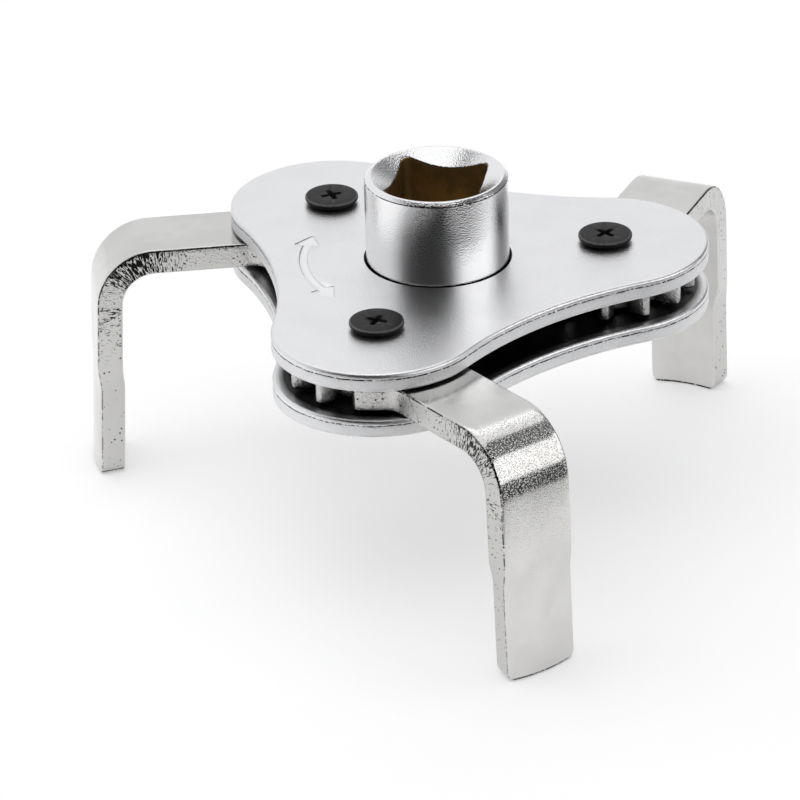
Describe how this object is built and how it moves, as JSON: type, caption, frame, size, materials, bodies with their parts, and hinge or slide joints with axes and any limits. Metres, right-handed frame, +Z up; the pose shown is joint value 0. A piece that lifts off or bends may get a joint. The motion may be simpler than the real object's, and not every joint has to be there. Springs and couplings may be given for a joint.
{
  "type": "oil filter wrench",
  "caption": "Oil filter wrench with geared L-shaped jaws that swing between lobed plates as its square-socket hub turns.",
  "frame": {"origin": "on the drive axis, in the plane that the feet of the jaws stand on", "axes": "+Z up along the drive axis, towards the square socket; +X through the pivot of the first jaw"},
  "size_m": [0.0991, 0.0933, 0.0527],
  "materials": {
    "plates": "satin plated",
    "hub": "satin plated",
    "jaws": "satin nickel plated",
    "screws": "black oxide",
    "bushes": "turned",
    "washers": "spring steel"
  },
  "bodies": {
    "plates": {"top_plate": "plates", "bottom_plate": "plates", "hub_washer_upper": "washers", "hub_washer_lower": "washers", "pivot_bush_1": "bushes", "pivot_bush_2": "bushes", "pivot_bush_3": "bushes", "jaw_washer_upper_1": "washers", "jaw_washer_upper_2": "washers", "jaw_washer_upper_3": "washers", "jaw_washer_lower_1": "washers", "jaw_washer_lower_2": "washers", "jaw_washer_lower_3": "washers", "top_screws": "screws", "bottom_screws": "screws"},
    "hub": {"drive_hub": "hub"},
    "jaw_1": {"jaw_1": "jaws"},
    "jaw_2": {"jaw_2": "jaws"},
    "jaw_3": {"jaw_3": "jaws"}
  },
  "joints": [
    {"name": "hub_turn", "type": "hinge", "parent": "plates", "child": "hub", "pos_m": [0, 0, 0.0348], "axis": [0, 0, 1], "range_deg": [-46.5, 147.5]},
    {"name": "jaw_1_swing", "type": "hinge", "parent": "plates", "child": "jaw_1", "pos_m": [0.0248, 0, 0.0348], "axis": [0, 0, 1], "range_deg": [-170.3, 53.8]},
    {"name": "jaw_2_swing", "type": "hinge", "parent": "plates", "child": "jaw_2", "pos_m": [-0.0124, 0.02148, 0.0348], "axis": [0, 0, 1], "range_deg": [-170.3, 53.8]},
    {"name": "jaw_3_swing", "type": "hinge", "parent": "plates", "child": "jaw_3", "pos_m": [-0.0124, -0.02148, 0.0348], "axis": [0, 0, 1], "range_deg": [-170.3, 53.8]}
  ],
  "couplings": [
    {"joint": "jaw_1_swing", "follows": "hub_turn", "ratio": -1.1538},
    {"joint": "jaw_2_swing", "follows": "hub_turn", "ratio": -1.1538},
    {"joint": "jaw_3_swing", "follows": "hub_turn", "ratio": -1.1538}
  ]
}
